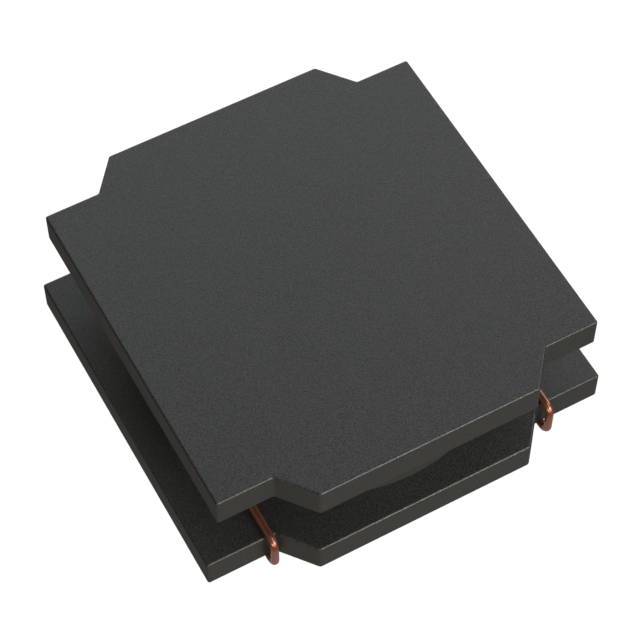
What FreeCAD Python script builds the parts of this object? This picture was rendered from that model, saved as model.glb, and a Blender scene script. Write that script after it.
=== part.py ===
import FreeCAD, Part
import math
import os

# Low-profile power inductor for surface mounting: a wound drum core in a coat of magnetic resin.
# Millimetres, +Z up. The origin lies on the seating plane, under the middle of the body, and
# the front (-Y) is the side where both ends of the wire hook round the base flange.

# Drum core, pressed and sintered in one piece
base_width = 6.0
top_width = 5.6
lobe_depth = 6.0
side_depth = 5.0
lobe_taper = 0.4
base_thickness = 0.5
top_thickness = 0.5
winding_height = 1.0
post_radius = 1.76
corner_round = 0.02
edge_chamfer = 0.02
root_chamfer = 0.04

# Winding
wire_diameter = 0.115
layers = 4
coil_play = 0.005
rib_height = 0.03
rib_crest = 0.04
lead_rise = 0.8

# Hooks, where the ends of the wire pass round the base flange
hook_gap = 0.095
hook_bend = 0.14
hook_lobe_gap = 0.05
start_inset = 0.018
tail_length = 3.9
tail_groove = 0.05

# Resin coat
resin_wall = 0.37
resin_play = 0.01

# Terminals under the base
plating_thickness = 0.02
plating_width = 1.35
plating_length = 4.8
plating_margin = 0.1
plating_corner = 0.12
solder_inset = 0.05
solder_cover = 0.065
solder_edge = 0.09

# Heights above the seating plane
wire_radius = wire_diameter / 2
tail_level = solder_cover + wire_radius
groove_radius = wire_radius + plating_thickness
base_bottom = tail_level + groove_radius - tail_groove
plating_bottom = base_bottom - plating_thickness
base_top = base_bottom + base_thickness
top_bottom = base_top + winding_height
lead_level = base_top + coil_play + wire_radius
coil_bottom = lead_level + wire_radius + coil_play

# Places in plan
turns_per_layer = int((top_bottom - root_chamfer - coil_bottom) / wire_diameter)
coil_inner = post_radius + coil_play
coil_outer = coil_inner + layers * wire_diameter
lead_x = coil_outer - wire_diameter
lobe_root = lead_x - wire_radius - hook_lobe_gap
hook_front = -side_depth / 2 - hook_gap - wire_radius
tail_end = -side_depth / 2 + tail_length


def vector(x, y, z):
    """Point or direction in the part's frame."""
    return FreeCAD.Vector(x, y, z)


def is_level(edge):
    """True for an edge that stays at one height."""
    return edge.BoundBox.ZLength < 1e-6


def lead_place(side):
    """Place of one lead along X. The start stands a little nearer the middle than the finish."""
    return side * lead_x + (start_inset if side < 0 else 0)


def tail_bar(side, radius, start, end):
    """Round bar on the line of a wire's tail, between two places along Y."""
    foot = vector(lead_place(side), start, tail_level)
    return Part.makeCylinder(radius, end - start, foot, vector(0, 1, 0))


# Drum core
def flange(width, bottom, thickness):
    """Plate with plain X sides and a lobe on each Y side, which leaves a notch at every corner."""
    right_back = [
        (width / 2, side_depth / 2),
        (lobe_root, side_depth / 2),
        (lobe_root - lobe_taper, lobe_depth / 2),
    ]
    back = right_back + [(-x, y) for x, y in reversed(right_back)]
    front = [(-x, -y) for x, y in back]
    outline = [vector(x, y, bottom) for x, y in back + front]
    plate = Part.Face(Part.makePolygon(outline + outline[:1])).extrude(vector(0, 0, thickness))
    plate = plate.makeFillet(corner_round, [edge for edge in plate.Edges if not is_level(edge)])
    return plate.makeChamfer(edge_chamfer, [edge for edge in plate.Edges if is_level(edge)])


def is_post_end(edge):
    """True for the circles where the post meets the flanges."""
    return isinstance(edge.Curve, Part.Circle) and abs(edge.Curve.Radius - post_radius) < 1e-6


def drum_core():
    """Two notched flanges on a round post, with a groove under the base for each tail."""
    half_depth = lobe_depth / 2
    grooves = [tail_bar(side, groove_radius, -half_depth, half_depth) for side in (-1, 1)]
    base = flange(base_width, base_bottom, base_thickness).cut(grooves)
    top = flange(top_width, top_bottom, top_thickness)
    post = Part.makeCylinder(post_radius, winding_height, vector(0, 0, base_top))
    core = base.fuse([post, top]).removeSplitter()
    return core.makeChamfer(root_chamfer, [edge for edge in core.Edges if is_post_end(edge)])


# Winding
def coil():
    """Turns of wire round the post, with each turn of the outer layer standing out as a rib."""
    groove = coil_outer - rib_height
    outline = [vector(coil_inner, 0, coil_bottom), vector(groove, 0, coil_bottom)]
    for turn in range(turns_per_layer):
        middle = coil_bottom + (turn + 0.5) * wire_diameter
        outline.append(vector(coil_outer, 0, middle - rib_crest / 2))
        outline.append(vector(coil_outer, 0, middle + rib_crest / 2))
        outline.append(vector(groove, 0, middle + wire_radius))
    outline.append(vector(coil_inner, 0, coil_bottom + turns_per_layer * wire_diameter))
    section = Part.Face(Part.makePolygon(outline + outline[:1]))
    return section.revolve(vector(0, 0, 0), vector(0, 0, 1), 360)


def bend(x, start, middle, end):
    """Round bend in the upright plane at x, through three points given as (y, z)."""
    return Part.Arc(*[vector(x, y, z) for y, z in (start, middle, end)]).toShape()


def run(x, start, end):
    """Straight stretch in the upright plane at x, between two points given as (y, z)."""
    return Part.LineSegment(vector(x, *start), vector(x, *end)).toShape()


def lead(side):
    """One end of the wire: tail, hook round the base flange, run along its top, rise into the coil."""
    x = lead_place(side)
    corner = hook_bend * (1 - math.sqrt(0.5))
    tail_bend = (hook_front + hook_bend, tail_level)
    hook_low = (hook_front, tail_level + hook_bend)
    hook_high = (hook_front, lead_level - hook_bend)
    top_bend = (hook_front + hook_bend, lead_level)
    climb = coil_bottom + wire_diameter - lead_level
    slope = math.acos(1 - climb / lead_rise)
    rise_start = (-lead_rise * math.sin(slope), lead_level)
    half_slope = slope / 2
    rise_middle = (
        rise_start[0] + lead_rise * math.sin(half_slope),
        lead_level + lead_rise * (1 - math.cos(half_slope)),
    )
    path = Part.Wire([
        run(x, (tail_end, tail_level), tail_bend),
        bend(x, tail_bend, (hook_front + corner, tail_level + corner), hook_low),
        run(x, hook_low, hook_high),
        bend(x, hook_high, (hook_front + corner, lead_level - corner), top_bend),
        run(x, top_bend, rise_start),
        bend(x, rise_start, rise_middle, (0, lead_level + climb)),
    ])
    section = Part.Circle(vector(x, tail_end, tail_level), vector(0, 1, 0), wire_radius)
    return path.makePipeShell([Part.Wire([section.toShape()])], True, False)


def winding():
    """The whole wire: the coil with a lead at each side."""
    return coil().fuse([lead(-1), lead(1)])


# Resin coat
def lead_passage(side):
    """Arched way for one lead along the top of the base flange."""
    half = wire_radius + resin_play
    length = coil_outer + resin_wall + half
    x = lead_place(side)
    arch = Part.makeCylinder(half, length, vector(x, 0, lead_level), vector(0, -1, 0))
    legs = Part.makeBox(2 * half, length, lead_level - base_top, vector(x - half, -length, base_top))
    return arch.fuse(legs)


def resin_coat():
    """Ring of magnetic resin that fills the space between the flanges outside the coil."""
    foot = vector(0, 0, base_top)
    bore_radius = coil_outer + coil_play
    ring = Part.makeCylinder(bore_radius + resin_wall, winding_height, foot)
    bore = Part.makeCylinder(bore_radius, winding_height, foot)
    return ring.cut([bore, lead_passage(-1), lead_passage(1)])


# Terminals
def pad_block(side, inset, bottom, height):
    """Block on the plated area's outline, drawn in by an inset, at one side under the base."""
    width = plating_width - 2 * inset
    length = plating_length - 2 * inset
    middle = side * (base_width / 2 - plating_margin - plating_width / 2)
    block = Part.makeBox(width, length, height, vector(middle - width / 2, -length / 2, bottom))
    return block.makeFillet(plating_corner, [edge for edge in block.Edges if not is_level(edge)])


def electrode(side):
    """Plated pad on the underside of the base flange, which also lines the groove."""
    half_length = plating_length / 2
    lining = tail_bar(side, groove_radius, -half_length, half_length)
    above = Part.makeBox(2 * groove_radius, plating_length, 2 * groove_radius)
    above.translate(vector(lead_place(side) - groove_radius, -half_length, plating_bottom))
    pad = pad_block(side, 0, plating_bottom, plating_thickness).fuse(lining.common(above))
    return pad.cut(tail_bar(side, wire_radius, -half_length, half_length)).removeSplitter()


def solder(side):
    """Solder on the pad, flat where the part rests, with the tail of the wire bedded in it."""
    block = pad_block(side, solder_inset, 0, plating_bottom)
    seat_rim = [edge for edge in block.Edges if is_level(edge) and edge.BoundBox.ZMax < 1e-6]
    block = block.makeFillet(solder_edge, seat_rim)
    front = -plating_length / 2
    back = plating_length / 2 - solder_inset
    filling = tail_bar(side, wire_radius, tail_end, back)
    bed = tail_bar(side, wire_radius, front, tail_end)
    mouth = Part.makeBox(wire_diameter, tail_end - front, wire_radius)
    mouth.translate(vector(lead_place(side) - wire_radius, front, tail_level))
    return block.fuse(filling).removeSplitter().cut([bed, mouth])


def main():
    """Writes one file for each separate piece."""
    pieces = {
        "drum_core": drum_core(),
        "winding": winding(),
        "resin_coat": resin_coat(),
        "start_electrode": electrode(-1),
        "finish_electrode": electrode(1),
        "start_solder": solder(-1),
        "finish_solder": solder(1),
    }
    os.makedirs("parts", exist_ok=True)
    for name, shape in pieces.items():
        shape.exportStep(f"parts/{name}.step")


main()
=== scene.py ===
"""Looks of a low-profile power inductor for surface mounting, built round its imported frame.

Sizes are in millimetres, in the frame's axes: +Z up from the seating plane, both ends of the
wire at the front (-Y). Every finished mesh is scaled to metres before it is placed.
"""
import logging
import math
from dataclasses import dataclass
from enum import Enum
from typing import Any, Callable, Sequence

import bmesh
import bpy
from mathutils import Matrix, Vector


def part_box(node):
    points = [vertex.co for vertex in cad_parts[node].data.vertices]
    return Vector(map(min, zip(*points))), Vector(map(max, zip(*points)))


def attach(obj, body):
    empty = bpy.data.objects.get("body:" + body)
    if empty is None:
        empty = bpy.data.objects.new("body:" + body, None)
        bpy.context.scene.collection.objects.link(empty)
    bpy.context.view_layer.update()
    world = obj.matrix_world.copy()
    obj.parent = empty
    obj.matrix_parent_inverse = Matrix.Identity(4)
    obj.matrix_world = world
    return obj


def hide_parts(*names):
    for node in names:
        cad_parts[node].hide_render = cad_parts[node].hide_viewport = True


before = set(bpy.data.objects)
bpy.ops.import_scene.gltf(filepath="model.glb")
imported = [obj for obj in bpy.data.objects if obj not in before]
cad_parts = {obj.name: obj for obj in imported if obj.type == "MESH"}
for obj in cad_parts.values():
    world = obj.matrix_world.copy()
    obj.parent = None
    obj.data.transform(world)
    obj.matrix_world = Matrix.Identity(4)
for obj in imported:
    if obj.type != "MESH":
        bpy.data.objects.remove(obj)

LOG = logging.getLogger("inductor")
BODY = "root"
MM = 0.001
TOUCH = 1e-6
LEVEL_NORMAL = 0.9
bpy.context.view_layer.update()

Colour = tuple[float, float, float, float]
Point = tuple[float, float]
Span = tuple[float, float]
Socket = bpy.types.NodeSocket

BLACK: Colour = (0.0, 0.0, 0.0, 1.0)
WHITE: Colour = (1.0, 1.0, 1.0, 1.0)


class Side(Enum):
    """The two ends of the wire, by the sign of their X."""

    START = -1
    FINISH = 1


class Merge(Enum):
    """What becomes of a second solid when it is combined with a piece."""

    JOIN = "UNION"
    CUT_AWAY = "DIFFERENCE"


class Math(Enum):
    """Sums that the node graphs use."""

    ADD = "ADD"
    SUBTRACT = "SUBTRACT"
    MULTIPLY = "MULTIPLY"
    DIVIDE = "DIVIDE"
    MINIMUM = "MINIMUM"
    MAXIMUM = "MAXIMUM"
    MODULO = "FLOORED_MODULO"
    FLOOR = "FLOOR"
    ABSOLUTE = "ABSOLUTE"
    SINE = "SINE"
    COSINE = "COSINE"


def node_box(node: str) -> tuple[Vector, Vector]:
    """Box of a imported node, in millimetres.

    Args:
        node: Name of the node.

    Returns:
        Its lowest and highest corners.
    """
    low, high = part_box(node)
    return low / MM, high / MM


class Graph:
    """A node tree under construction, of a material or of geometry."""

    def __init__(self, tree: bpy.types.NodeTree) -> None:
        """Keeps the tree that the nodes go into."""
        self.tree = tree

    def node(self, kind: str, **settings: Any) -> bpy.types.Node:
        """Adds a node.

        Args:
            kind: Name of the node's type.
            settings: Properties of the node, by name.

        Returns:
            The new node.
        """
        made = self.tree.nodes.new(kind)
        for name, value in settings.items():
            setattr(made, name, value)
        return made

    def feed(self, target: Socket, value: Any) -> None:
        """Links a socket into another one, or sets its value when given a plain value.

        Args:
            target: Socket that is fed.
            value: Socket to link, or the value to set.
        """
        if isinstance(value, bpy.types.NodeSocket):
            self.tree.links.new(value, target)
        else:
            target.default_value = value

    def math(self, operation: Math, first: Any, second: Any = 0.0, clamp: bool = False) -> Socket:
        """Adds one sum.

        Args:
            operation: The sum to do.
            first: Socket or number.
            second: Socket or number, unused where the sum takes one value.
            clamp: True to keep the result between 0 and 1.

        Returns:
            The socket with the result.
        """
        made = self.node("ShaderNodeMath", operation=operation.value, use_clamp=clamp)
        self.feed(made.inputs[0], first)
        self.feed(made.inputs[1], second)
        return made.outputs[0]


@dataclass(frozen=True)
class Grain:
    """Fineness of a solid pattern: its features in a metre, and the octaves of finer ones."""

    scale: float
    detail: float


@dataclass(frozen=True)
class Finish:
    """A surface finish. Each kind adds its own nodes to the common shader.

    The usual span is where most of a pattern's values lie. The pattern's turn keeps its grid
    off the faces. Bumps are measured in metres.
    """

    name: str
    slot: str
    dark: Colour = BLACK
    light: Colour = WHITE
    roughness: Span = (0.5, 0.5)
    usual: Span = (0.3, 0.7)
    turn: tuple[float, float, float] = (0.7, 0.4, 0.5)
    bump_depth: float = 1e-6
    bump_strength: float = 1.0

    def material(self) -> bpy.types.Material:
        """Builds the material.

        Returns:
            The new material, with its nodes made by the finish.
        """
        made = bpy.data.materials.new(self.name)
        made.use_nodes = True
        graph = Graph(made.node_tree)
        shader = made.node_tree.nodes["Principled BSDF"]
        self.dress(graph, shader)
        return made

    def dress(self, graph: Graph, shader: bpy.types.Node) -> None:
        """Feeds the shader. Each finish gives its own."""
        raise NotImplementedError

    def noise(self, graph: Graph, grain: Grain) -> Socket:
        """Adds a solid pattern in the piece's own coordinates.

        Args:
            graph: Graph of the material.
            grain: Fineness of the pattern.

        Returns:
            The pattern's value, about 0.5 on average.
        """
        place = graph.node("ShaderNodeTexCoord")
        turned = graph.node("ShaderNodeVectorRotate", rotation_type="EULER_XYZ")
        graph.feed(turned.inputs["Vector"], place.outputs["Object"])
        graph.feed(turned.inputs["Rotation"], self.turn)
        noise = graph.node("ShaderNodeTexNoise")
        graph.feed(noise.inputs["Vector"], turned.outputs["Vector"])
        graph.feed(noise.inputs["Scale"], grain.scale)
        graph.feed(noise.inputs["Detail"], grain.detail)
        return noise.outputs["Fac"]

    def spread(self, graph: Graph, value: Socket, ends: Span, results: Span) -> Socket:
        """Spreads a value over a new range.

        Args:
            graph: Graph of the material.
            value: Socket with the value.
            ends: Two values.
            results: What they become.

        Returns:
            The socket with the result.
        """
        made = graph.node("ShaderNodeMapRange")
        for index, given in enumerate((value, *ends, *results)):
            graph.feed(made.inputs[index], given)
        return made.outputs[0]

    def blend(self, graph: Graph, share: Socket) -> Socket:
        """Mixes the dark and the light colour.

        Args:
            graph: Graph of the material.
            share: Socket with the light colour's share.

        Returns:
            The socket with the result.
        """
        made = graph.node("ShaderNodeMix", data_type="RGBA")
        graph.feed(made.inputs["Factor"], share)
        graph.feed(made.inputs[6], self.dark)
        graph.feed(made.inputs[7], self.light)
        return made.outputs[2]

    def paint(self, graph: Graph, shader: bpy.types.Node, pattern: Socket) -> None:
        """Gives the shader its colour and its roughness along one pattern.

        Args:
            graph: Graph of the material.
            shader: Shader to feed.
            pattern: Socket with the pattern.
        """
        graph.feed(shader.inputs["Base Color"], self.blend(graph, pattern))
        graph.feed(shader.inputs["Roughness"], self.spread(graph, pattern, self.usual, self.roughness))

    def bump(self, graph: Graph, shader: bpy.types.Node, height: Socket) -> None:
        """Roughens the surface.

        Args:
            graph: Graph of the material.
            shader: Shader that gets the bumps.
            height: Socket with the height, where 1 is the full depth.
        """
        made = graph.node("ShaderNodeBump")
        graph.feed(made.inputs["Height"], height)
        graph.feed(made.inputs["Distance"], self.bump_depth)
        graph.feed(made.inputs["Strength"], self.bump_strength)
        graph.feed(shader.inputs["Normal"], made.outputs["Normal"])


@dataclass(frozen=True)
class SinteredFerrite(Finish):
    """Matt dark grey ceramic with a fine grain of its own, glossier on rims. The grain's colour
    contrast is painted stronger on the level faces and weaker on the walls, as painted shade of light
    raking its relief.
    """

    dark: Colour = (0.020, 0.021, 0.020, 1.0)
    light: Colour = (0.078, 0.080, 0.079, 1.0)
    speckle: Grain = Grain(55000.0, 1.0)
    cloud: Grain = Grain(900.0, 3.0)
    cloud_share: Span = (0.47, 0.53)
    grain_contrast_with_raking_shade: Span = (1.6, 3.4)
    rim_slant: Span = (0.5, 0.9)
    roughness: Span = (0.5, 0.3)
    gloss_play: Span = (-0.06, 0.06)
    index: float = 1.8
    bump_depth: float = 2e-6

    def dress(self, graph: Graph, shader: bpy.types.Node) -> None:
        """Gives the shader a speckled grey, uneven gloss and a grainy surface. The speckle's contrast
        is painted stronger on level faces, as painted raking shade.

        Args:
            graph: Graph of the material.
            shader: Shader to feed.
        """
        grain = self.noise(graph, self.speckle)
        cloud = self.noise(graph, self.cloud)
        level = self.levelness(graph)
        # Painted shade: the ferrite's own grain gets more colour contrast on level faces than on
        # walls. This stands in for light raking its relief.
        strength = self.spread(graph, level, (0.0, 1.0), self.grain_contrast_with_raking_shade)
        contrast = graph.math(Math.MULTIPLY, graph.math(Math.SUBTRACT, grain, 0.5), strength)
        drift = self.spread(graph, cloud, self.usual, self.cloud_share)
        share = graph.math(Math.ADD, contrast, drift, clamp=True)
        graph.feed(shader.inputs["Base Color"], self.blend(graph, share))
        from_rim = graph.math(Math.ABSOLUTE, graph.math(Math.SUBTRACT, level, 0.5))
        slant = graph.math(Math.SUBTRACT, 1.0, from_rim, clamp=True)
        polish = self.spread(graph, slant, self.rim_slant, self.roughness)
        play = self.spread(graph, grain, self.usual, self.gloss_play)
        graph.feed(shader.inputs["Roughness"], graph.math(Math.ADD, polish, play))
        shader.inputs["IOR"].default_value = self.index
        self.bump(graph, shader, grain)

    def levelness(self, graph: Graph) -> Socket:
        """Tells how level the surface lies.

        Args:
            graph: Graph of the material.

        Returns:
            The socket, with 1 on the flat faces, 0 on the walls and 0.5 halfway round a rim.
        """
        surface = graph.node("ShaderNodeNewGeometry")
        parts = graph.node("ShaderNodeSeparateXYZ")
        graph.feed(parts.inputs[0], surface.outputs["Normal"])
        return graph.math(Math.MULTIPLY, parts.outputs["Z"], parts.outputs["Z"])


@dataclass(frozen=True)
class MagneticResin(Finish):
    """Nearly black epoxy, dull with the ferrite powder in it."""

    dark: Colour = (0.060, 0.061, 0.060, 1.0)
    light: Colour = (0.095, 0.095, 0.094, 1.0)
    roughness: Span = (0.46, 0.62)
    powder: Grain = Grain(36000.0, 2.0)
    powder_height: float = 0.3
    flow: Grain = Grain(2600.0, 2.0)
    bump_depth: float = 1.2e-5
    bump_strength: float = 0.4

    def dress(self, graph: Graph, shader: bpy.types.Node) -> None:
        """Gives the shader a powdery black and shallow waves left by the flow of the resin.

        Args:
            graph: Graph of the material.
            shader: Shader to feed.
        """
        powder = self.noise(graph, self.powder)
        flow = self.noise(graph, self.flow)
        self.paint(graph, shader, powder)
        height = graph.math(Math.ADD, graph.math(Math.MULTIPLY, powder, self.powder_height), flow)
        self.bump(graph, shader, height)


@dataclass(frozen=True)
class EnamelledCopper(Finish):
    """Drawn copper wire under a thin clear coat of enamel."""

    dark: Colour = (0.62, 0.215, 0.140, 1.0)
    light: Colour = (0.70, 0.245, 0.160, 1.0)
    roughness: Span = (0.22, 0.28)
    metallic: float = 0.7
    coat_roughness: float = 0.12
    coat_index: float = 1.6
    patches: Grain = Grain(9000.0, 1.0)
    bump_strength: float = 0.05

    def dress(self, graph: Graph, shader: bpy.types.Node) -> None:
        """Gives the shader reddish copper with faint uneven patches under the enamel.

        Args:
            graph: Graph of the material.
            shader: Shader to feed.
        """
        patches = self.noise(graph, self.patches)
        self.paint(graph, shader, patches)
        shader.inputs["Metallic"].default_value = self.metallic
        shader.inputs["Coat Weight"].default_value = 1.0
        shader.inputs["Coat Roughness"].default_value = self.coat_roughness
        shader.inputs["Coat IOR"].default_value = self.coat_index
        self.bump(graph, shader, patches)


@dataclass(frozen=True)
class TinPlating(Finish):
    """Satin tin plating, with the roughness of the ferrite showing through."""

    dark: Colour = (0.56, 0.56, 0.54, 1.0)
    light: Colour = (0.74, 0.74, 0.72, 1.0)
    roughness: Span = (0.38, 0.52)
    ferrite_grain: Grain = Grain(30000.0, 2.0)
    bump_depth: float = 3e-6
    bump_strength: float = 0.5

    def dress(self, graph: Graph, shader: bpy.types.Node) -> None:
        """Gives the shader a pale grey metal with a fine matt grain.

        Args:
            graph: Graph of the material.
            shader: Shader to feed.
        """
        grain = self.noise(graph, self.ferrite_grain)
        self.paint(graph, shader, grain)
        shader.inputs["Metallic"].default_value = 1.0
        self.bump(graph, shader, grain)


@dataclass(frozen=True)
class SetSolder(Finish):
    """Solder as it set, bright with soft frosted patches."""

    dark: Colour = (0.50, 0.51, 0.52, 1.0)
    light: Colour = (0.78, 0.79, 0.80, 1.0)
    roughness: Span = (0.22, 0.42)
    usual: Span = (0.35, 0.65)
    frost: Grain = Grain(7000.0, 4.0)
    frost_height: float = 0.25
    ripple: Grain = Grain(2200.0, 1.0)
    bump_depth: float = 1.0e-5
    bump_strength: float = 0.5

    def dress(self, graph: Graph, shader: bpy.types.Node) -> None:
        """Gives the shader a silvery metal with frost and a gently rippled surface.

        Args:
            graph: Graph of the material.
            shader: Shader to feed.
        """
        frost = self.noise(graph, self.frost)
        ripple = self.noise(graph, self.ripple)
        self.paint(graph, shader, frost)
        shader.inputs["Metallic"].default_value = 1.0
        height = graph.math(Math.ADD, ripple, graph.math(Math.MULTIPLY, frost, self.frost_height))
        self.bump(graph, shader, height)


class MeshShop:
    """Makes meshes in millimetres and hands them over as finished pieces in metres."""

    WELD = 1e-5
    CREASE = 40.0
    FLAT_FACE_WEIGHT = 100

    @staticmethod
    def piece(name: str, shape: bmesh.types.BMesh) -> bpy.types.Object:
        """Turns a bmesh into an object and frees it.

        Args:
            name: Name of the object.
            shape: The mesh, in millimetres.

        Returns:
            The linked object, still in millimetres.
        """
        mesh = bpy.data.meshes.new(name)
        shape.to_mesh(mesh)
        shape.free()
        made = bpy.data.objects.new(name, mesh)
        bpy.context.scene.collection.objects.link(made)
        return made

    @staticmethod
    def bake(piece: bpy.types.Object) -> None:
        """Applies a piece's modifiers to its mesh and removes them.

        Args:
            piece: Piece to change.
        """
        depsgraph = bpy.context.evaluated_depsgraph_get()
        old = piece.data
        mesh = bpy.data.meshes.new_from_object(piece.evaluated_get(depsgraph), depsgraph=depsgraph)
        piece.modifiers.clear()
        piece.data = mesh
        mesh.name = piece.name
        bpy.data.meshes.remove(old)

    @staticmethod
    def combine(piece: bpy.types.Object, other: bpy.types.Object, merge: Merge) -> None:
        """Joins another closed solid to a piece or cuts it away, and removes the other one.

        Args:
            piece: Piece that stays.
            other: Solid that is used up.
            merge: What becomes of it.
        """
        modifier = piece.modifiers.new("combine", "BOOLEAN")
        modifier.object = other
        modifier.operation = merge.value
        modifier.solver = "MANIFOLD"
        MeshShop.bake(piece)
        bpy.data.objects.remove(other)
        shape = bmesh.new()
        shape.from_mesh(piece.data)
        bmesh.ops.dissolve_degenerate(shape, edges=shape.edges, dist=MeshShop.WELD)
        bmesh.ops.remove_doubles(shape, verts=shape.verts, dist=MeshShop.WELD)
        shape.to_mesh(piece.data)
        shape.free()

    @staticmethod
    def extrude(outline: Sequence[Sequence[float]], way: Sequence[float]) -> bmesh.types.BMesh:
        """Extrudes a flat outline.

        Args:
            outline: Corners of one end, in order.
            way: Step from that end to the other.

        Returns:
            The closed solid.
        """
        shape = bmesh.new()
        end = shape.faces.new([shape.verts.new(corner) for corner in outline])
        raised = bmesh.ops.extrude_face_region(shape, geom=[end])["geom"]
        corners = [part for part in raised if isinstance(part, bmesh.types.BMVert)]
        bmesh.ops.translate(shape, vec=way, verts=corners)
        bmesh.ops.recalc_face_normals(shape, faces=shape.faces)
        return shape

    @staticmethod
    def prism(outline: Sequence[Point], low: float, high: float) -> bmesh.types.BMesh:
        """Extrudes an outline in plan upwards from one level to another."""
        return MeshShop.extrude([(x, y, low) for x, y in outline], (0, 0, high - low))

    @staticmethod
    def bar(section: Sequence[Point], start: float, end: float) -> bmesh.types.BMesh:
        """Extrudes a section, given as X and Z, backwards from one place along Y to another."""
        return MeshShop.extrude([(x, start, z) for x, z in section], (0, end - start, 0))

    @staticmethod
    def smooth(piece: bpy.types.Object) -> None:
        """Shades a piece smooth between flat faces and leaves sharp what turns more than the crease.

        Args:
            piece: Piece to shade.
        """
        piece.data.shade_smooth()
        piece.data.set_sharp_from_angle(angle=math.radians(MeshShop.CREASE))
        weighted = piece.modifiers.new("normals", "WEIGHTED_NORMAL")
        weighted.weight = MeshShop.FLAT_FACE_WEIGHT
        weighted.keep_sharp = True
        MeshShop.bake(piece)

    @staticmethod
    def round_edges(
        shape: bmesh.types.BMesh,
        chosen: Callable[[bmesh.types.BMEdge], bool],
        radius: float,
        segments: int,
    ) -> None:
        """Rounds the edges that a test picks.

        Args:
            shape: Mesh to change.
            chosen: Test for an edge.
            radius: Distance from the edge to where the rounding starts.
            segments: Number of facets across the rounding.
        """
        edges = [edge for edge in shape.edges if chosen(edge)]
        bmesh.ops.bevel(
            shape,
            geom=edges,
            offset=radius,
            offset_type="OFFSET",
            segments=segments,
            profile=0.5,
            affect="EDGES",
        )

    @staticmethod
    def lathe(profile: Sequence[Point], steps: int) -> bmesh.types.BMesh:
        """Turns a closed profile about the core's axis.

        Args:
            profile: Points as radius and level, in order round the section.
            steps: Facets round the axis.

        Returns:
            The closed ring, or the closed solid where the profile touches the axis.
        """
        shape = bmesh.new()
        corners = [shape.verts.new((radius, 0, level)) for radius, level in profile]
        edges = [shape.edges.new(pair) for pair in zip(corners, corners[1:] + corners[:1])]
        bmesh.ops.spin(
            shape,
            geom=corners + edges,
            cent=(0, 0, 0),
            axis=(0, 0, 1),
            angle=math.tau,
            steps=steps,
            use_merge=True,
        )
        bmesh.ops.remove_doubles(shape, verts=shape.verts, dist=MeshShop.WELD)
        loose = [edge for edge in shape.edges if not edge.link_faces]
        bmesh.ops.delete(shape, geom=loose, context="EDGES")
        bmesh.ops.recalc_face_normals(shape, faces=shape.faces)
        return shape

    @staticmethod
    def hand_over(piece: bpy.types.Object, finish: Finish, node: str) -> None:
        """Scales a piece to metres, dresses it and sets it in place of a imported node.

        Args:
            piece: Finished piece, in millimetres.
            finish: Its surface finish.
            node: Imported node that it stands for.
        """
        piece.data.transform(Matrix.Scale(MM, 4))
        piece.data.materials.clear()
        piece.data.materials.append(finish.material())
        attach(piece, BODY)
        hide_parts(node)
        triangles = sum(len(face.vertices) - 2 for face in piece.data.polygons)
        LOG.info("%s: %d triangles, for %s", piece.name, triangles, node)


def is_upright(edge: bmesh.types.BMEdge) -> bool:
    """True for an edge that runs straight up."""
    first, second = (corner.co for corner in edge.verts)
    return (first.xy - second.xy).length < TOUCH


def is_rim(edge: bmesh.types.BMEdge) -> bool:
    """True for a level edge between a flat face and a wall."""
    faces = edge.link_faces
    return len(faces) == 2 and any(abs(face.normal.z) > LEVEL_NORMAL for face in faces)


def arc(middle: Point, radius: float, start: float, end: float, steps: int) -> list[Point]:
    """Points on an arc in an upright plane across the part.

    Args:
        middle: Middle of the arc, as X and Z.
        radius: Its radius.
        start: Angle of its first point, in degrees above the +X side.
        end: Angle of its last point.
        steps: Number of facets.

    Returns:
        The points as X and Z.
    """
    x, z = middle
    turns = [math.radians(start + (end - start) * step / steps) for step in range(steps + 1)]
    return [(x + radius * math.cos(turn), z + radius * math.sin(turn)) for turn in turns]


@dataclass(frozen=True)
class Wire:
    """The wire's gauge and the line of its tails, which the core and the terminals make room for."""

    diameter: float = 0.115
    tail_end: float = 1.4
    start_inset: float = 0.018
    bar_facets: int = 40
    node: str = "winding"

    @property
    def radius(self) -> float:
        """Half the wire's thickness."""
        return self.diameter / 2

    @property
    def tail_level(self) -> float:
        """Height of the tails' middle line."""
        return node_box(self.node)[0].z + self.radius

    def lead_x(self, side: Side) -> float:
        """Place of one lead along X. The start stands a little nearer the middle."""
        inset = self.start_inset if side is Side.START else 0.0
        return side.value * (node_box(self.node)[1].x - self.diameter - inset)

    def tail_bar(self, side: Side, radius: float, start: float, end: float) -> bmesh.types.BMesh:
        """Makes a round bar on the line of a tail.

        Args:
            side: End of the wire.
            radius: Radius of the bar.
            start: Place of its front end along Y.
            end: Place of its back end.

        Returns:
            The closed bar.
        """
        middle = (self.lead_x(side), self.tail_level)
        ring = arc(middle, radius, 0.0, 360.0, self.bar_facets)
        return MeshShop.bar(ring[:-1], start, end)


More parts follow.
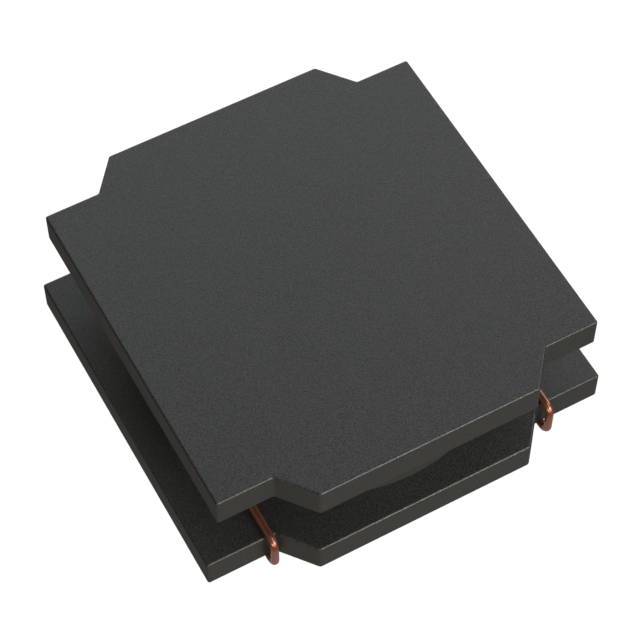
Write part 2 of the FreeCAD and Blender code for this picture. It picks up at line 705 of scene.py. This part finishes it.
@dataclass
class DrumCore:
    """Two notched flanges on a round post, sintered in one piece."""

    finish: Finish
    wire: Wire
    top_width: float = 5.6
    side_depth: float = 5.0
    lobe_root: float = 2.0025
    lobe_taper: float = 0.4
    flange_thickness: float = 0.5
    post_radius: float = 1.76
    edge_round: float = 0.033
    edge_facets: int = 5
    root_chamfer: float = 0.04
    groove_play: float = 0.02
    seat_in: float = 0.1
    post_facets: int = 128
    node: str = "drum_core"

    def plate(self, width: float, depth: float, low: float) -> bmesh.types.BMesh:
        """Makes one flange with rounded corners and edges.

        Args:
            width: Size along X.
            depth: Size along Y, over the lobes.
            low: Level of the underside.

        Returns:
            The closed plate.
        """
        right_back = [
            (width / 2, self.side_depth / 2),
            (self.lobe_root, self.side_depth / 2),
            (self.lobe_root - self.lobe_taper, depth / 2),
        ]
        back = right_back + [(-x, y) for x, y in reversed(right_back)]
        front = [(-x, -y) for x, y in back]
        shape = MeshShop.prism(back + front, low, low + self.flange_thickness)
        MeshShop.round_edges(shape, lambda edge: True, self.edge_round, self.edge_facets)
        return shape

    def post(self, low: float, high: float) -> bmesh.types.BMesh:
        """Makes the post with a sloped root at each flange.

        Args:
            low: Level of the lower flange's top.
            high: Level of the upper flange's underside.

        Returns:
            The closed post, which reaches into both flanges.
        """
        sunk = self.root_chamfer + self.seat_in
        profile = [
            (0.0, low - self.seat_in),
            (self.post_radius + sunk, low - self.seat_in),
            (self.post_radius, low + self.root_chamfer),
            (self.post_radius, high - self.root_chamfer),
            (self.post_radius + sunk, high + self.seat_in),
            (0.0, high + self.seat_in),
        ]
        return MeshShop.lathe(profile, self.post_facets)

    def build(self) -> None:
        """Makes the core and hands it over."""
        low, high = node_box(self.node)
        gap_low = low.z + self.flange_thickness
        gap_high = high.z - self.flange_thickness
        depth = high.y - low.y
        core = MeshShop.piece("ferrite_core", self.plate(high.x - low.x, depth, low.z))
        for side in Side:
            groove = self.wire.tail_bar(side, self.wire.radius + self.groove_play, -depth, depth)
            MeshShop.combine(core, MeshShop.piece("groove", groove), Merge.CUT_AWAY)
        MeshShop.combine(core, MeshShop.piece("post", self.post(gap_low, gap_high)), Merge.JOIN)
        top = MeshShop.piece("top_flange", self.plate(self.top_width, depth, gap_high))
        MeshShop.combine(core, top, Merge.JOIN)
        MeshShop.smooth(core)
        MeshShop.hand_over(core, self.finish, self.node)


@dataclass
class Winding:
    """One wire: the coil round the post and a hooked lead at each side."""

    finish: Finish
    wire: Wire
    layers: int = 4
    turns_per_layer: int = 7
    crossing_start: float = 0.9
    coil_play: float = 0.005
    hook_bend: float = 0.14
    rise_length: float = 0.4
    bend_facets: int = 12
    section_facets: int = 20
    points_per_turn: int = 64
    node: str = "winding"

    @property
    def base_top(self) -> float:
        """Level of the lower flange's top, where the resin stands on it."""
        return node_box("resin_coat")[0].z

    def lead_route(self, side: Side) -> list[Vector]:
        """Corners of one lead's route, from the tail under the base to the coil.

        Args:
            side: End of the wire.

        Returns:
            The corners, in order.
        """
        front = node_box(self.node)[0].y + self.wire.radius
        level = self.base_top + self.coil_play + self.wire.radius
        coil = self.base_top + 2 * self.coil_play + 2 * self.wire.diameter
        corners = [
            (self.wire.tail_end, self.wire.tail_level),
            (front, self.wire.tail_level),
            (front, level),
            (-self.rise_length, level),
            (0.0, coil),
        ]
        return [Vector((self.wire.lead_x(side), y, z)) for y, z in corners]

    def routes(self) -> bpy.types.Object:
        """Makes a curve object with both leads' routes.

        Returns:
            The linked object, in millimetres.
        """
        curve = bpy.data.curves.new("wire_routes", "CURVE")
        curve.dimensions = "3D"
        for side in Side:
            points = self.lead_route(side)
            spline = curve.splines.new("POLY")
            spline.points.add(len(points) - 1)
            for point, place in zip(spline.points, points):
                point.co = (*place, 1.0)
        made = bpy.data.objects.new("wire_routes", curve)
        bpy.context.scene.collection.objects.link(made)
        return made

    def coil_place(self, graph: Graph, given: dict[str, Socket], factor: Socket) -> Socket:
        """Works out the place of a point of the coil from how far along the wire it is.

        Each turn is level for most of the way round and then eases over to the next place,
        one wire up or down the layer, or one wire out at the end of a layer.

        Args:
            graph: Graph of the tree.
            given: The tree's inputs by name.
            factor: Share of the wire, 0 to 1.

        Returns:
            The socket with the position.
        """
        step = given["Wire Diameter"]
        turns = given["Turns per Layer"]
        total = graph.math(Math.MULTIPLY, turns, given["Layers"])
        travelled = graph.math(Math.MULTIPLY, factor, total)
        whole = graph.math(Math.FLOOR, travelled)
        part = graph.math(Math.SUBTRACT, travelled, whole)
        ease = graph.node("ShaderNodeMapRange", interpolation_type="SMOOTHSTEP")
        for index, value in enumerate((part, self.crossing_start, 1.0, 0.0, 1.0)):
            graph.feed(ease.inputs[index], value)
        eased = graph.math(Math.ADD, whole, ease.outputs[0])
        last_turn = graph.math(Math.SUBTRACT, turns, 1.0)
        turning = graph.math(Math.SUBTRACT, turns, 0.5)
        in_pair = graph.math(Math.MODULO, eased, graph.math(Math.MULTIPLY, turns, 2.0))
        from_turning = graph.math(Math.ABSOLUTE, graph.math(Math.SUBTRACT, in_pair, turning))
        zigzag = graph.math(Math.SUBTRACT, turning, from_turning)
        limit = graph.node("ShaderNodeClamp")
        for index, value in enumerate((zigzag, 0.0, last_turn)):
            graph.feed(limit.inputs[index], value)
        in_layer = graph.math(Math.MODULO, eased, turns)
        outward = graph.math(Math.SUBTRACT, in_layer, last_turn, clamp=True)
        full_layers = graph.math(Math.FLOOR, graph.math(Math.DIVIDE, eased, turns))
        last_layer = graph.math(Math.SUBTRACT, given["Layers"], 1.0)
        layer = graph.math(Math.MINIMUM, graph.math(Math.ADD, full_layers, outward), last_layer)
        radius = graph.math(Math.ADD, given["Inner Axis"], graph.math(Math.MULTIPLY, layer, step))
        angle = graph.math(Math.MULTIPLY, travelled, -math.tau)
        rise = graph.math(Math.MULTIPLY, limit.outputs[0], step)
        place = graph.node("ShaderNodeCombineXYZ")
        graph.feed(place.inputs[0], graph.math(Math.MULTIPLY, radius, graph.math(Math.COSINE, angle)))
        graph.feed(place.inputs[1], graph.math(Math.MULTIPLY, radius, graph.math(Math.SINE, angle)))
        graph.feed(place.inputs[2], graph.math(Math.ADD, given["First Level"], rise))
        return place.outputs[0]

    def tree(self) -> bpy.types.NodeTree:
        """Builds the tree that turns the leads' routes and the coil's sizes into wire.

        Returns:
            The tree, with named inputs.
        """
        tree = bpy.data.node_groups.new("wound_wire", "GeometryNodeTree")
        tree.interface.new_socket("Geometry", in_out="INPUT", socket_type="NodeSocketGeometry")
        numbers = (
            "Wire Diameter",
            "Bend Radius",
            "Inner Axis",
            "First Level",
            "Layers",
            "Turns per Layer",
        )
        for name in numbers:
            tree.interface.new_socket(name, in_out="INPUT", socket_type="NodeSocketFloat")
        tree.interface.new_socket("Points on Coil", in_out="INPUT", socket_type="NodeSocketInt")
        tree.interface.new_socket("Material", in_out="INPUT", socket_type="NodeSocketMaterial")
        tree.interface.new_socket("Geometry", in_out="OUTPUT", socket_type="NodeSocketGeometry")
        graph = Graph(tree)
        source = graph.node("NodeGroupInput")
        given = {socket.name: socket for socket in source.outputs}
        bent = graph.node("GeometryNodeFilletCurve", mode="POLY")
        graph.feed(bent.inputs["Curve"], given["Geometry"])
        graph.feed(bent.inputs["Radius"], given["Bend Radius"])
        graph.feed(bent.inputs["Count"], self.bend_facets)
        line = graph.node("GeometryNodeCurvePrimitiveLine")
        points = graph.node("GeometryNodeResampleCurve")
        graph.feed(points.inputs["Curve"], line.outputs["Curve"])
        graph.feed(points.inputs["Count"], given["Points on Coil"])
        along = graph.node("GeometryNodeSplineParameter")
        coil = graph.node("GeometryNodeSetPosition")
        graph.feed(coil.inputs["Geometry"], points.outputs["Curve"])
        graph.feed(coil.inputs["Position"], self.coil_place(graph, given, along.outputs["Factor"]))
        both = graph.node("GeometryNodeJoinGeometry")
        graph.feed(both.inputs[0], coil.outputs["Geometry"])
        graph.feed(both.inputs[0], bent.outputs["Curve"])
        section = graph.node("GeometryNodeCurvePrimitiveCircle")
        graph.feed(section.inputs["Resolution"], self.section_facets)
        graph.feed(section.inputs["Radius"], graph.math(Math.DIVIDE, given["Wire Diameter"], 2.0))
        wire = graph.node("GeometryNodeCurveToMesh")
        graph.feed(wire.inputs["Curve"], both.outputs["Geometry"])
        graph.feed(wire.inputs["Profile Curve"], section.outputs["Curve"])
        graph.feed(wire.inputs["Fill Caps"], True)
        real = graph.node("GeometryNodeRealizeInstances")
        graph.feed(real.inputs["Geometry"], wire.outputs["Mesh"])
        dressed = graph.node("GeometryNodeSetMaterial")
        graph.feed(dressed.inputs["Geometry"], real.outputs["Geometry"])
        graph.feed(dressed.inputs["Material"], given["Material"])
        end = graph.node("NodeGroupOutput")
        graph.feed(end.inputs["Geometry"], dressed.outputs["Geometry"])
        return tree

    def build(self) -> None:
        """Makes the wire and hands it over."""
        inner_wall = node_box(self.node)[1].x - self.layers * self.wire.diameter
        coil_bottom = self.base_top + 2 * self.coil_play + self.wire.diameter
        values = {
            "Wire Diameter": self.wire.diameter,
            "Bend Radius": self.hook_bend,
            "Inner Axis": inner_wall + self.wire.radius,
            "First Level": coil_bottom + self.wire.radius,
            "Layers": float(self.layers),
            "Turns per Layer": float(self.turns_per_layer),
            "Points on Coil": self.layers * self.turns_per_layer * self.points_per_turn,
        }
        routes = self.routes()
        modifier = routes.modifiers.new("wire", "NODES")
        modifier.node_group = self.tree()
        for item in modifier.node_group.interface.items_tree:
            if item.in_out == "INPUT" and item.name in values:
                modifier[item.identifier] = values[item.name]
        depsgraph = bpy.context.evaluated_depsgraph_get()
        mesh = bpy.data.meshes.new_from_object(routes.evaluated_get(depsgraph), depsgraph=depsgraph)
        bpy.data.objects.remove(routes)
        wire = bpy.data.objects.new("copper_wire", mesh)
        bpy.context.scene.collection.objects.link(wire)
        mesh.shade_smooth()
        MeshShop.hand_over(wire, self.finish, self.node)


@dataclass
class ResinCoat:
    """Ring of magnetic resin between the flanges, with a way through for each lead."""

    finish: Finish
    wire: Wire
    bore_play: float = 0.005
    lead_play: float = 0.01
    passage_overrun: float = 1.0
    ring_facets: int = 256
    arch_facets: int = 16
    node: str = "resin_coat"

    def passage(self, side: Side, base_top: float, reach: float) -> bmesh.types.BMesh:
        """Makes the arched space round one lead.

        Args:
            side: End of the wire.
            base_top: Level of the lower flange's top.
            reach: Distance from the core's middle to past the ring's front.

        Returns:
            The closed arch, which reaches below the ring.
        """
        half = self.wire.radius + self.lead_play
        x = self.wire.lead_x(side)
        foot = base_top - half
        middle = (x, base_top + self.bore_play + self.wire.radius)
        crown = arc(middle, half, 0.0, 180.0, self.arch_facets)
        return MeshShop.bar([(x + half, foot), *crown, (x - half, foot)], -reach, 0.0)

    def build(self) -> None:
        """Makes the ring and hands it over."""
        low, high = node_box(self.node)
        bore = node_box(self.wire.node)[1].x + self.bore_play
        profile = [(bore, low.z), (high.x, low.z), (high.x, high.z), (bore, high.z)]
        ring = MeshShop.piece("magnetic_resin", MeshShop.lathe(profile, self.ring_facets))
        for side in Side:
            passage = self.passage(side, low.z, high.x + self.passage_overrun)
            MeshShop.combine(ring, MeshShop.piece("passage", passage), Merge.CUT_AWAY)
        MeshShop.smooth(ring)
        MeshShop.hand_over(ring, self.finish, self.node)


@dataclass
class Terminal:
    """One soldered terminal under the base: the plated pad and the solder on it."""

    side: Side
    plating: Finish
    solder: Finish
    wire: Wire
    plating_thickness: float = 0.02
    corner_round: float = 0.12
    corner_facets: int = 8
    lining_facets: int = 24
    seat_round: float = 0.09
    seat_facets: int = 6

    @property
    def end(self) -> str:
        """This end's name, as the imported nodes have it."""
        return self.side.name.lower()

    @property
    def pad_node(self) -> str:
        """Name of this end's plated pad."""
        return f"{self.end}_electrode"

    @property
    def solder_node(self) -> str:
        """Name of this end's solder."""
        return f"{self.end}_solder"

    def slab(self, node: str, top: float) -> bmesh.types.BMesh:
        """Makes a plate with rounded corners on a node's outline.

        Args:
            node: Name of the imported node.
            top: Level of the plate's top.

        Returns:
            The closed plate.
        """
        low, high = node_box(node)
        outline = [(low.x, low.y), (high.x, low.y), (high.x, high.y), (low.x, high.y)]
        shape = MeshShop.prism(outline, low.z, top)
        MeshShop.round_edges(shape, is_upright, self.corner_round, self.corner_facets)
        return shape

    def build_pad(self) -> None:
        """Makes the plated pad, which also lines the groove for the wire, and hands it over."""
        low, high = node_box(self.pad_node)
        top = low.z + self.plating_thickness
        pad = MeshShop.piece(f"{self.end}_tin_pad", self.slab(self.pad_node, top))
        outer = self.wire.radius + self.plating_thickness
        middle = (self.wire.lead_x(self.side), self.wire.tail_level)
        foot = low.z + self.plating_thickness / 2
        lean = math.degrees(math.asin((foot - self.wire.tail_level) / outer))
        ridge = arc(middle, outer, lean, 180.0 - lean, self.lining_facets)
        lining = MeshShop.bar(ridge, low.y, high.y)
        MeshShop.combine(pad, MeshShop.piece("lining", lining), Merge.JOIN)
        bed = self.wire.tail_bar(self.side, self.wire.radius, low.y - outer, high.y + outer)
        MeshShop.combine(pad, MeshShop.piece("bed", bed), Merge.CUT_AWAY)
        MeshShop.smooth(pad)
        MeshShop.hand_over(pad, self.plating, self.pad_node)

    def build_solder(self) -> None:
        """Makes the solder, flat where the part rests and bedded round the tail, and hands it over."""
        low, high = node_box(self.solder_node)

        def is_seat_rim(edge: bmesh.types.BMEdge) -> bool:
            """True for the edges of the face that the part rests on."""
            return is_rim(edge) and all(abs(corner.co.z - low.z) < TOUCH for corner in edge.verts)

        shape = self.slab(self.solder_node, node_box(self.pad_node)[0].z)
        MeshShop.round_edges(shape, is_seat_rim, self.seat_round, self.seat_facets)
        mound = MeshShop.piece(f"{self.end}_solder_mound", shape)
        radius, tail_end = self.wire.radius, self.wire.tail_end
        bed = self.wire.tail_bar(self.side, radius, low.y - self.wire.diameter, tail_end)
        MeshShop.combine(mound, MeshShop.piece("bed", bed), Merge.CUT_AWAY)
        filling = self.wire.tail_bar(self.side, radius, tail_end, high.y)
        MeshShop.combine(mound, MeshShop.piece("filling", filling), Merge.JOIN)
        MeshShop.smooth(mound)
        MeshShop.hand_over(mound, self.solder, self.solder_node)

    def build(self) -> None:
        """Makes both layers of the terminal."""
        self.build_pad()
        self.build_solder()


@dataclass
class Softbox:
    """A soft rectangular light aimed at the part, in degrees, metres and watts."""

    name: str
    azimuth: float
    elevation: float
    width: float
    height: float
    power: float
    colour: tuple[float, float, float]
    distance: float = 0.06

    def build(self, target: Vector) -> None:
        """Places the light.

        Args:
            target: Point that it faces, in metres.
        """
        light = bpy.data.lights.new(self.name, "AREA")
        light.shape = "RECTANGLE"
        light.size = self.width
        light.size_y = self.height
        light.energy = self.power
        light.color = self.colour
        made = bpy.data.objects.new(self.name, light)
        away = direction(self.azimuth, self.elevation)
        made.location = target + away * self.distance
        made.rotation_euler = away.to_track_quat("Z", "Y").to_euler()
        bpy.context.scene.collection.objects.link(made)


def direction(azimuth: float, elevation: float) -> Vector:
    """Direction from the part, with azimuth 0 at the front (-Y) and growing towards +X.

    Args:
        azimuth: Angle round the part, in degrees.
        elevation: Angle above the horizon, in degrees.

    Returns:
        The unit vector.
    """
    turn, lift = math.radians(azimuth), math.radians(elevation)
    return Vector((
        math.sin(turn) * math.cos(lift),
        -math.cos(turn) * math.cos(lift),
        math.sin(lift),
    ))


@dataclass
class Studio:
    """White floor, soft lights and the camera.

    The floor's size is in metres, the other lengths are in millimetres.
    """

    azimuth: float = -28.743
    elevation: float = 57.213
    distance: float = 30.808
    roll: float = -0.049
    aim: tuple[float, float, float] = (-0.0523, -0.1641, 1.15)
    lens: float = 127.99
    sensor: float = 36.0
    nearest: float = 1.0
    farthest: float = 10000.0
    light_target: float = 1.15
    floor_size: float = 4.0
    floor_shade: Colour = (0.1, 0.1, 0.1, 1.0)
    floor_glow: float = 1.0
    table_glow: Colour = (0.285, 0.270, 0.249, 1.0)
    room_share: float = 0.25

    def floor(self) -> None:
        """Lays the plain floor under the part."""
        shape = bmesh.new()
        bmesh.ops.create_grid(shape, x_segments=1, y_segments=1, size=self.floor_size / 2 / MM)
        piece = MeshShop.piece("floor", shape)
        piece.data.transform(Matrix.Scale(MM, 4))
        material = bpy.data.materials.new("white_floor")
        material.use_nodes = True
        shader = material.node_tree.nodes["Principled BSDF"]
        shader.inputs["Base Color"].default_value = self.floor_shade
        shader.inputs["Roughness"].default_value = 1.0
        shader.inputs["Specular IOR Level"].default_value = 0.0
        shader.inputs["Emission Color"].default_value = WHITE
        shader.inputs["Emission Strength"].default_value = self.floor_glow
        piece.data.materials.append(material)
        piece.visible_diffuse = False
        piece.visible_glossy = False

    def surroundings(self) -> None:
        """Gives the room an even light, and more of it from below, as a pale table throws back."""
        world = bpy.data.worlds.new("studio")
        bpy.context.scene.world = world
        world.use_nodes = True
        graph = Graph(world.node_tree)
        place = graph.node("ShaderNodeTexCoord")
        parts = graph.node("ShaderNodeSeparateXYZ")
        graph.feed(parts.inputs[0], place.outputs["Generated"])
        down = graph.math(Math.MULTIPLY, parts.outputs["Z"], -1.0, clamp=True)
        share = graph.math(Math.MAXIMUM, graph.math(Math.MULTIPLY, down, down), self.room_share)
        mix = graph.node("ShaderNodeMix", data_type="RGBA")
        graph.feed(mix.inputs["Factor"], share)
        graph.feed(mix.inputs[6], BLACK)
        graph.feed(mix.inputs[7], self.table_glow)
        graph.feed(world.node_tree.nodes["Background"].inputs["Color"], mix.outputs[2])

    def lights(self) -> None:
        """Hangs the soft lights, which all face the middle of the part."""
        softboxes = (
            Softbox("back_light", 165.0, 35.0, 0.10, 0.04, 0.01054, (0.841, 0.948, 1.0)),
            Softbox("low_back_light", 165.0, 20.0, 0.03, 0.02, 0.0029, (1.0, 0.903, 0.778)),
            Softbox("back_right_light", 130.0, 42.0, 0.012, 0.012, 0.00108, (1.0, 0.79, 0.79)),
            Softbox("right_light", 90.0, 35.0, 0.04, 0.03, 0.00525, (0.841, 1.0, 0.998)),
            Softbox("high_front_light", 17.0, 55.0, 0.03, 0.03, 0.00254, (0.94, 1.0, 1.0)),
            Softbox("middle_front_light", 17.0, 28.0, 0.016, 0.016, 0.0048, (1.0, 0.985, 0.86)),
            Softbox("low_front_light", 17.0, 16.0, 0.08, 0.03, 0.0094, (1.0, 0.99, 0.87)),
            Softbox("low_left_light", -38.0, 10.0, 0.03, 0.016, 0.0047, (1.0, 0.846, 0.633)),
        )
        for softbox in softboxes:
            softbox.build(Vector((0.0, 0.0, self.light_target * MM)))

    def camera(self) -> None:
        """Sets up the camera where the part was looked at from."""
        data = bpy.data.cameras.new("camera")
        data.sensor_width = self.sensor
        data.lens = self.lens
        data.clip_start = self.nearest * MM
        data.clip_end = self.farthest * MM
        made = bpy.data.objects.new("camera", data)
        away = direction(self.azimuth, self.elevation)
        made.location = (Vector(self.aim) + away * self.distance) * MM
        roll = Matrix.Rotation(math.radians(self.roll), 3, "Z")
        turn = away.to_track_quat("Z", "Y").to_matrix() @ roll
        made.rotation_euler = turn.to_euler()
        bpy.context.scene.collection.objects.link(made)
        bpy.context.scene.camera = made

    def build(self) -> None:
        """Builds the whole stage."""
        self.floor()
        self.surroundings()
        self.lights()
        self.camera()
        bpy.context.scene.view_settings.view_transform = "Standard"
        bpy.context.scene.view_settings.look = "None"


def main() -> None:
    """Builds every piece, then the stage round them."""
    logging.basicConfig(level=logging.INFO, format="%(message)s")
    ferrite = SinteredFerrite("sintered_ferrite", "ferrite")
    resin = MagneticResin("magnetic_resin", "magnetic_resin")
    copper = EnamelledCopper("enamelled_copper", "copper_wire")
    plating = TinPlating("tin_plating", "plating")
    solder = SetSolder("set_solder", "solder")
    wire = Wire()
    DrumCore(ferrite, wire).build()
    Winding(copper, wire).build()
    ResinCoat(resin, wire).build()
    for side in Side:
        Terminal(side, plating, solder, wire).build()
    Studio().build()


if __name__ == "__main__":
    main()
